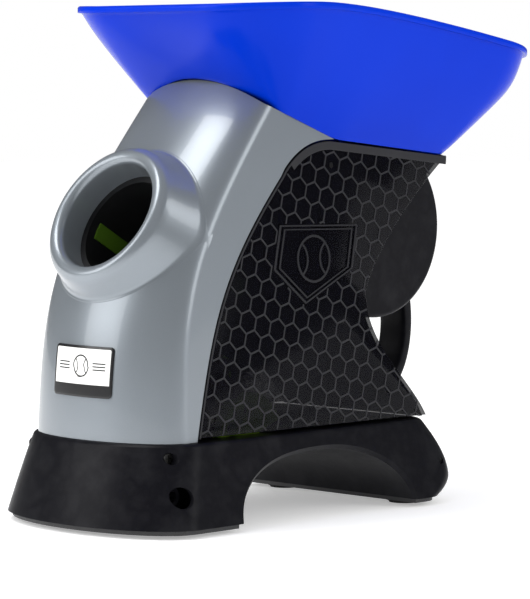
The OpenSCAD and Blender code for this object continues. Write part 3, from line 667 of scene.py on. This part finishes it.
def make_nozzle():
    sides = 144
    fillet = 2.6
    columns = []
    for k in range(sides):
        turn = 2 * math.pi * k / sides
        low, high = 4.0, 70.0
        for _ in range(46):
            mid = (low + high) / 2
            if depth_in_body(nozzle_point(mid, cone(mid), turn)) < 0:
                low = mid
            else:
                high = mid
        meet = (low + high) / 2
        bend = [math.radians(a) for a in range(180, 40, -9)]
        profile = [(LIP_ROUND * (1 - math.sin(a)), LIP_MID_R + LIP_ROUND * math.cos(a)) for a in bend]
        profile += [(2.7, 51.1), (4.0, 52.35)]
        above = meet - fillet
        profile += [(mix(5.5, above, i / 6), cone(mix(5.5, above, i / 6))) for i in range(7)]
        wide = cone(meet) + fillet * 0.8
        land = reach_body(wide, turn, 0.25)
        for i in range(1, 9):
            t = i / 8
            k0, k1, k2 = (1 - t) ** 2, 2 * t * (1 - t), t * t
            profile.append((k0 * above + k1 * meet + k2 * land,
                            k0 * cone(above) + k1 * cone(meet) + k2 * wide))
        tuck = reach_body(wide + 1.5, turn, -0.9)
        profile.append((tuck, wide + 1.5))
        deep = reach_body(cone(meet) - 3.2, turn, -1.6)
        profile += [(deep, cone(meet) - 3.2), (9.0, 49.6), (9.0, SLEEVE_R + 2.4),
                    (SLEEVE_DEEP, SLEEVE_R + 2.4), (SLEEVE_DEEP, SLEEVE_R), (8.0, SLEEVE_R)]
        columns.append([nozzle_point(s, r, turn) for s, r in profile])
    return new_object("nozzle", *skin(columns, ring=True), sharp=40)


# ---------- base ----------
def base_loop(z, grow=0.0, **counts):
    t = (BASE_TOP - z) / (BASE_TOP - BASE_UNDER)
    w = mix(79.5, 91.5, t) - grow
    front = mix(-124.5, -141.5, t ** 0.85) + grow
    rear = 152 + 22 * math.sin(math.radians(min(1, t / 0.72) * 90))
    rear -= 16 * (max(0.0, t - 0.72) / 0.28) ** 2
    return outline(w, front, rear - grow, w, 46 - grow, 20 - grow, **counts)


def base_half(z):
    return mix(79.5, 91.5, (BASE_TOP - z) / (BASE_TOP - BASE_UNDER))


def arch_points(grow, count=40):
    w = ARCH_HALF + grow
    pts = []
    for i in range(-count, count + 1):
        y = ARCH_MID + w * math.sin(math.radians(90 * i / count))
        power = 2.5 if y < ARCH_MID else 2.0
        u = min(1.0, abs(y - ARCH_MID) / w)
        pts.append((y, (ARCH_H + grow) * max(0.0, 1 - u ** power) ** (1 / power)))
    return pts + [(ARCH_MID + w, -12), (ARCH_MID - w, -12)]


def base_solid(name, low, high, grow, rounded=True):
    levels = [mix(low, high, i / 22) for i in range(23)]
    loops = []
    for z in levels[:-1]:
        edge = base_loop(min(BASE_TOP, max(BASE_UNDER, z)), grow)
        loops.append([at(x, y, z) for x, y in edge])
    if rounded:
        loops = loops[:-1]
        for a in range(0, 91, 15):
            up, inward = 2.4 * math.sin(math.radians(a)), 2.4 * (1 - math.cos(math.radians(a)))
            z = high - 2.4 + up
            loops.append([at(x, y, z) for x, y in base_loop(z, grow + inward)])
    else:
        loops.append([at(x, y, high) for x, y in base_loop(min(BASE_TOP, high), grow)])
    return new_object(name, *skin(loops))


def make_base():
    base = base_solid("base_moulding", BASE_UNDER, BASE_TOP, 0)
    hollow = base_solid("hollow", BASE_UNDER - 3, BASE_TOP - BASE_WALL, BASE_WALL, rounded=False)
    carve(hollow, prism_x("arch_skin", arch_points(BASE_WALL), -120, 120))
    for y0 in (-63, 21):
        carve(hollow, box_mm("rib", (-100, y0, -5), (100, y0 + 3, 52)))
    for sign in (1, -1):
        carve(hollow, rod_x("front_boss", sign * 61, sign * 74, *FRONT_SCREW, 5.8),
              rod_x("rear_boss", sign * 72, sign * 86, *REAR_SCREW, 4.4))
    carve(base, hollow)
    narrow, wide = arch_points(0), arch_points(3.4)
    loops = []
    for sign, off, pts in ((-1, 60, wide), (-1, 0.4, wide), (-1, -3.2, narrow),
                           (1, -3.2, narrow), (1, 0.4, wide), (1, 60, wide)):
        loops.append([at(sign * (base_half(max(BASE_UNDER, z)) + off), y, z) for y, z in pts])
    carve(base, new_object("arch_cut", *skin(loops)))
    carve(base, box_mm("top_slot", (-60, -84, BASE_TOP - 10), (60, 106, BASE_TOP + 10)))
    carve(base, rod_x("inlet_hole", 68, 98, *INLET, 7.3),
          box_mm("rocker_slot", (-100, -86, 20), (-80, -64, 34)))
    for sign in (1, -1):
        carve(base, rod_x("front_well", sign * 68, sign * 98, *FRONT_SCREW, 4),
              rod_x("rear_well", sign * 82.6, sign * 96, *REAR_SCREW, 2.5))
    return base


# ---------- carry handle ----------
def make_handle():
    outer = [(190.5, 168.0)] + bezier((196, 165), (208, 146), (208.5, 108), (194, 86.6), 26)
    outer += bezier((194, 86.6), (186, 75), (170, 66.5), (152, 66.5), 14, last=True)
    rise = bezier((186, 91), (199, 108), (200, 140), (187, 158), 26, last=True)
    inner = [(184.5, 159.5)] + rise[:0:-1]
    inner += bezier((186, 91), (180, 83), (168, 76), (152, 75.5), 14, last=True)
    half = 13.5
    loops = []
    for (oy, oz), (iy, iz) in zip(outer, inner):
        cy, cz = (oy + iy) / 2, (oz + iz) / 2
        hy, hz = (oy - iy) / 2, (oz - iz) / 2
        ring = []
        for i in range(40):
            a = 2 * math.pi * i / 40
            c, d = math.cos(a), math.sin(a)
            across = half * math.copysign(abs(c) ** 0.32, c)
            thick = math.copysign(abs(d) ** 0.45, d)
            ring.append(at(across, cy + hy * thick, cz + hz * thick))
        loops.append(ring)
    return new_object("handle", *skin(loops), sharp=60)


# ---------- side panels ----------
def panel_point(side, y, z, out):
    """A point of a side panel: y, z in the panel's own plane, out from its face."""
    x = SIDE_X + out * math.cos(LEAN) - z * math.sin(LEAN)
    return at(side * x, y, z * math.cos(LEAN) + out * math.sin(LEAN))


def inset(pts, distance):
    """A closed outline moved inwards. distance is one number or one for each point."""
    n = len(pts)
    area = sum(pts[i][0] * pts[(i + 1) % n][1] - pts[(i + 1) % n][0] * pts[i][1] for i in range(n))
    sign = 1 if area > 0 else -1
    out = []
    for i in range(n):
        a, b, c = Vector(pts[i - 1]), Vector(pts[i]), Vector(pts[(i + 1) % n])
        d1, d2 = (b - a).normalized(), (c - b).normalized()
        n1, n2 = Vector((-d1.y, d1.x)) * sign, Vector((-d2.y, d2.x)) * sign
        bisect = (n1 + n2)
        bisect = bisect / max(0.35, bisect.dot(n1)) if bisect.length > 1e-6 else n1
        far = distance[i] if isinstance(distance, (list, tuple)) else distance
        out.append(tuple(b + bisect * far))
    return out


def plate(name, side, pts, low, high, bevel):
    """A flat panel with a small round on the outer edge."""
    rings = [(0.0, low), (0.0, high - bevel)]
    rings += [(bevel * (1 - math.cos(math.radians(a))), high - bevel + bevel * math.sin(math.radians(a)))
              for a in (30, 60, 90)]
    loops = []
    for dist, out in rings:
        loops.append([panel_point(side, y, z, out) for y, z in (inset(pts, dist) if dist else pts)])
    return new_object(name, *skin(loops), sharp=30)


def full_panel():
    front, crown, rear_top, rear_low = panel_outline()
    return front + crown + rear_top + rear_low


def make_panel(side, name):
    panel = plate(name, side, full_panel(), -PANEL_T, 0.0, 0.6)
    for y, z in ((62.1, 248.4), (70.8, 137.3), (112.9, 85), (-63.3, 76.8)):
        turns = [2 * math.pi * i / 32 for i in range(32)]
        ring = [(y + 2.3 * math.cos(a), z + 2.3 * math.sin(a)) for a in turns]
        hole = new_object("hole", *skin([[panel_point(side, a, b, o) for a, b in ring] for o in (-5, 3)]))
        carve(panel, hole, sharp=30)
    return panel


CREST = [(6.7, 207.7), (86.2, 205.8), (79.7, 174.6), (30.4, 151.4), (-0.6, 176.7)]


def lattice_window():
    """The area the hexagons fill: inside the rim, along the base to the bottom edge."""
    front, crown, rear_top, rear_low = panel_outline()
    pts = front + crown + rear_top + rear_low
    deep = [3.0] * len(front) + [mix(3.5, 7.0, min(1, i / 8)) for i in range(len(crown))]
    deep += [7.0 if i == 0 else 1.2 for i in range(len(rear_top))] + [1.2] * len(rear_low)
    deep[0] = 1.0
    deep[-1] = 0.6
    return inset(pts, deep)


def inside(p, poly):
    x, y = p
    hit = False
    for i in range(len(poly)):
        (x1, y1), (x2, y2) = poly[i - 1], poly[i]
        if (y1 > y) != (y2 > y) and x < (x2 - x1) * (y - y1) / (y2 - y1) + x1:
            hit = not hit
    return hit


def clip(a, b, poly, keep_inside):
    """The parts of the segment a-b that lie inside (or outside) a polygon."""
    cuts = [0.0, 1.0]
    ax, ay = a
    dx, dy = b[0] - ax, b[1] - ay
    for i in range(len(poly)):
        (px, py), (qx, qy) = poly[i - 1], poly[i]
        ex, ey = qx - px, qy - py
        det = dx * ey - dy * ex
        if abs(det) < 1e-9:
            continue
        t = ((px - ax) * ey - (py - ay) * ex) / det
        u = ((px - ax) * dy - (py - ay) * dx) / det
        if 0 < t < 1 and 0 <= u <= 1:
            cuts.append(t)
    cuts.sort()
    out = []
    for t0, t1 in zip(cuts, cuts[1:]):
        mid = ((ax + dx * (t0 + t1) / 2), (ay + dy * (t0 + t1) / 2))
        if inside(mid, poly) == keep_inside and t1 - t0 > 0.03:
            out.append(((ax + dx * t0, ay + dy * t0), (ax + dx * t1, ay + dy * t1)))
    return out


def hexagon_edges():
    """Every edge of the hexagon pattern once, cut to the window and round the crest."""
    window = lattice_window()
    crest = inset(CREST, -1.0)
    c, s = math.cos(HEX_TURN), math.sin(HEX_TURN)
    flat = HEX_SIDE * math.sqrt(3)
    seen = {}
    for row in range(-24, 25):
        for col in range(-24, 25):
            u = flat * (col + 0.5 * row)
            v = HEX_SIDE * 1.5 * row
            hy, hz = HEX_AT[0] + u * c + v * s, HEX_AT[1] - u * s + v * c
            if not (-130 < hy < 230 and 30 < hz < 300):
                continue
            ring = []
            for k in range(6):
                a = math.radians(60 * k + 30)
                p, q = HEX_SIDE * math.cos(a), HEX_SIDE * math.sin(a)
                ring.append((hy + p * c + q * s, hz - p * s + q * c))
            for k in range(6):
                a, b = ring[k], ring[(k + 1) % 6]
                key = tuple(sorted([(round(a[0], 1), round(a[1], 1)), (round(b[0], 1), round(b[1], 1))]))
                mid = (round((a[0] + b[0]) / 2, 0), round((a[1] + b[1]) / 2, 0))
                if key not in seen and (mid, 0) not in seen:
                    seen[key] = (a, b)
    pieces = []
    for a, b in seen.values():
        for p, q in clip(a, b, window, True):
            pieces += clip(p, q, crest, False)
    return pieces


def line_tree():
    """Geometry nodes: every edge of a flat net becomes a raised line of set width and height."""
    tree = bpy.data.node_groups.new("raised_lines", "GeometryNodeTree")
    tree.interface.new_socket("Geometry", in_out="INPUT", socket_type="NodeSocketGeometry")
    for label, kind in (("Line width", "NodeSocketFloat"), ("Line height", "NodeSocketFloat"),
                        ("Finish", "NodeSocketMaterial")):
        tree.interface.new_socket(label, in_out="INPUT", socket_type=kind)
    tree.interface.new_socket("Geometry", in_out="OUTPUT", socket_type="NodeSocketGeometry")
    inp, out = tree.nodes.new("NodeGroupInput"), tree.nodes.new("NodeGroupOutput")
    curve = tree.nodes.new("GeometryNodeMeshToCurve")
    upright = tree.nodes.new("GeometryNodeSetCurveNormal")
    upright.mode = "Z_UP"
    section = tree.nodes.new("GeometryNodeCurvePrimitiveQuadrilateral")
    sweep = tree.nodes.new("GeometryNodeCurveToMesh")
    real = tree.nodes.new("GeometryNodeRealizeInstances")
    paint = tree.nodes.new("GeometryNodeSetMaterial")
    link = tree.links.new
    link(inp.outputs["Geometry"], curve.inputs[0])
    link(curve.outputs[0], upright.inputs[0])
    link(inp.outputs["Line width"], section.inputs["Width"])
    link(inp.outputs["Line height"], section.inputs["Height"])
    link(upright.outputs[0], sweep.inputs["Curve"])
    link(section.outputs[0], sweep.inputs["Profile Curve"])
    sweep.inputs["Fill Caps"].default_value = True
    link(sweep.outputs[0], real.inputs[0])
    link(real.outputs[0], paint.inputs[0])
    link(inp.outputs["Finish"], paint.inputs["Material"])
    link(paint.outputs[0], out.inputs["Geometry"])
    return tree


def set_inputs(step, **values):
    """Sets a geometry-nodes modifier's inputs by the identifier of each socket."""
    for item in step.node_group.interface.items_tree:
        label = item.name.replace(" ", "_").lower()
        if item.item_type == "SOCKET" and item.in_out == "INPUT" and label in values:
            step[item.identifier] = values[label]


def make_lattice(side, name, tree, finish):
    """Hexagon lines standing a little proud of a side panel."""
    verts, edges = [], []
    for a, b in hexagon_edges():
        edges.append((len(verts), len(verts) + 1))
        verts += [Vector((a[0] * MM, a[1] * MM, 0)), Vector((b[0] * MM, b[1] * MM, 0))]
    mesh = bpy.data.meshes.new(name)
    mesh.from_pydata(verts, edges, [])
    ob = bpy.data.objects.new(name, mesh)
    bpy.context.collection.objects.link(ob)
    step = ob.modifiers.new("lines", "NODES")
    step.node_group = tree
    set_inputs(step, line_width=1.2 * MM, line_height=0.6 * MM, finish=finish)
    settle(ob)
    for v in ob.data.vertices:
        y, z, out = v.co.x / MM, v.co.y / MM, v.co.z / MM
        v.co = panel_point(side, y, z, out)
    face_outward(ob)
    smooth(ob, 30)
    return ob


def strip(name, side, line, near, wide, height):
    """A raised flat strip beside an open outline."""
    closed = line
    left, right = [], []
    for i, p in enumerate(closed):
        a, b = Vector(closed[max(0, i - 1)]), Vector(closed[min(len(closed) - 1, i + 1)])
        d = (b - a).normalized()
        normal = Vector((d.y, -d.x))
        left.append(Vector(p) + normal * near)
        right.append(Vector(p) + normal * (near + wide))
    loops = []
    for a, b in zip(left, right):
        edge = min(0.25, wide * 0.2)
        d = (b - a).normalized() * edge
        low = height - edge * 0.7
        section = ((a, -0.4), (a, low), (a + d, height), (b - d, height), (b, low), (b, -0.4))
        loops.append([panel_point(side, *q, o) for q, o in section])
    return new_object(name, *skin(loops), sharp=30)


def make_panel_rims(side, name):
    front, crown = panel_outline()[:2]
    top = crown[2:] + [(mix(62, 184.2, i / 10), mix(266, 253.1, i / 10)) for i in range(1, 11)]
    broad = strip(name, side, top, 0.7, 5.8, 0.35)
    thin = strip("front_rim", side, front + crown[:6], 0.7, 1.5, 0.45)
    return join(broad, thin, sharp=30)


# ---------- label ----------
def rounded_rectangle(w, h, r, count=8, side=12):
    pts = []
    for cx, cy, start in ((w / 2 - r, h / 2 - r, 0), (-w / 2 + r, h / 2 - r, 90),
                          (-w / 2 + r, -h / 2 + r, 180), (w / 2 - r, -h / 2 + r, 270)):
        for i in range(count + 1):
            a = math.radians(start + 90 * i / count)
            pts.append((cx + r * math.cos(a), cy + r * math.sin(a)))
        nxt = math.radians(start + 90)
        end = (cx + r * math.cos(nxt), cy + r * math.sin(nxt))
        nx, ny = {0: (-w / 2 + r, h / 2), 90: (-w / 2, -h / 2 + r),
                  180: (w / 2 - r, -h / 2), 270: (w / 2, h / 2 - r)}[start]
        pts += [(mix(end[0], nx, i / side), mix(end[1], ny, i / side)) for i in range(1, side)]
    return pts


def make_label():
    w, h, mid_z = 58.0, 35.0, 109.5
    rings = [(0, 0.1), (0, 0.95), (0.15, 1.15), (0.4, 1.2), (1.75, 1.2), (1.8, 1.2), (3, 1.2), (6, 1.2),
             (10, 1.2), (14, 1.2)]
    loops, flat = [], []
    for dist, out in rings:
        pts = rounded_rectangle(w - 2 * dist, h - 2 * dist, max(0.6, 3.0 - dist))
        flat.append(pts)
        loops.append([at(x, column_front(x, mid_z + z, out), mid_z + z) for x, z in pts])
    verts, faces = skin(loops, closed_ends=True)
    mesh = bpy.data.meshes.new("front_plate")
    mesh.from_pydata(verts, [], faces)
    uv = mesh.uv_layers.new(name="label")
    line = mesh.attributes.new("frame_line", "FLOAT", "POINT")
    n = len(flat[0])
    where = [p for pts in flat for p in pts]
    for loop in mesh.loops:
        x, z = where[loop.vertex_index]
        uv.data[loop.index].uv = ((x + w / 2) / w, (z + h / 2) / w)
    for i in range(len(where)):
        line.data[i].value = 1.0 if i // n <= 4 else 0.0
    ob = bpy.data.objects.new("front_plate", mesh)
    bpy.context.collection.objects.link(ob)
    bm = bmesh.new()
    bm.from_mesh(mesh)
    bmesh.ops.recalc_face_normals(bm, faces=bm.faces)
    bm.to_mesh(mesh)
    bm.free()
    smooth(ob, 30)
    return ob


# ---------- studio ----------
def soft_light(name, place, aim, size, power, colour=(1, 1, 1)):
    data = bpy.data.lights.new(name, "AREA")
    data.shape = "RECTANGLE"
    data.size, data.size_y = size
    data.energy = power
    data.color = colour
    ob = bpy.data.objects.new(name, data)
    ob.location = place
    ob.rotation_mode = "QUATERNION"
    ob.rotation_quaternion = (Vector(aim) - Vector(place)).to_track_quat("-Z", "Y")
    bpy.context.collection.objects.link(ob)
    return ob


def make_studio():
    world = bpy.data.worlds.new("studio")
    bpy.context.scene.world = world
    world.use_nodes = True
    tree = world.node_tree
    back = tree.nodes["Background"]
    mirrored = add(tree, "ShaderNodeLightPath").outputs["Is Glossy Ray"]
    tree.links.new(math_node(tree, "MULTIPLY_ADD", mirrored, -0.88, 1.0), back.inputs["Strength"])
    back.inputs["Color"].default_value = (1, 1, 1, 1)
    bpy.context.scene.view_settings.view_transform = "Standard"
    soft_light("left window", (-0.9, -1.5, 0.9), (0, -0.05, 0.2), (0.9, 1.2), 12)
    soft_light("right window", (1.5, 0.5, 0.8), (0, 0, 0.2), (0.5, 1.2), 6)
    soft_light("top window", (-0.4, -0.8, 1.7), (0, -0.05, 0.2), (0.8, 0.8), 13)
    size = 9.0
    turns = [2 * math.pi * i / 64 for i in range(64)]
    verts = [Vector((size * math.cos(a), size * math.sin(a), 0)) for a in turns]
    floor = new_object("floor", verts, [tuple(range(64))])
    mat, _, bsdf = plain_material("pale floor", (0.90, 0.90, 0.90))
    bsdf.inputs["Roughness"].default_value = 0.55
    bsdf.inputs["Emission Color"].default_value = (1, 1, 1, 1)
    bsdf.inputs["Emission Strength"].default_value = 0.35
    floor.data.materials.append(mat)
    if floor.data.polygons[0].normal.z < 0:
        floor.data.flip_normals()


# ---------- build ----------
make_camera()
looks = make_materials()
dress_cad_nodes(looks)
place_piece(make_hopper(), "hopper", "hopper_blue", looks["hopper_blue"], "hopper")
place_piece(make_front_shell(), "root", "shell_silver", looks["shell_silver"], "front_shell")
place_piece(make_nozzle(), "root", "shell_silver", looks["shell_silver"], "nozzle_collar")
place_piece(make_base(), "root", "black_moulding", looks["black_moulding"], "base_shell")
place_piece(make_handle(), "root", "black_moulding", looks["black_moulding"], "carry_handle")
place_piece(make_label(), "root", "label_white", looks["label_white"], "front_label")
lines = line_tree()
for side, word in ((1, "right"), (-1, "left")):
    line_look = looks["panel_lines"]
    place_piece(make_panel(side, "panel_" + word), "root", "smoked_panel", looks["smoked_panel"],
                "side_panel_" + word)
    place_piece(make_lattice(side, "hexagons_" + word, lines, line_look), "root", "smoked_panel", line_look)
    place_piece(make_panel_rims(side, "rims_" + word), "root", "smoked_panel", line_look)
make_studio()
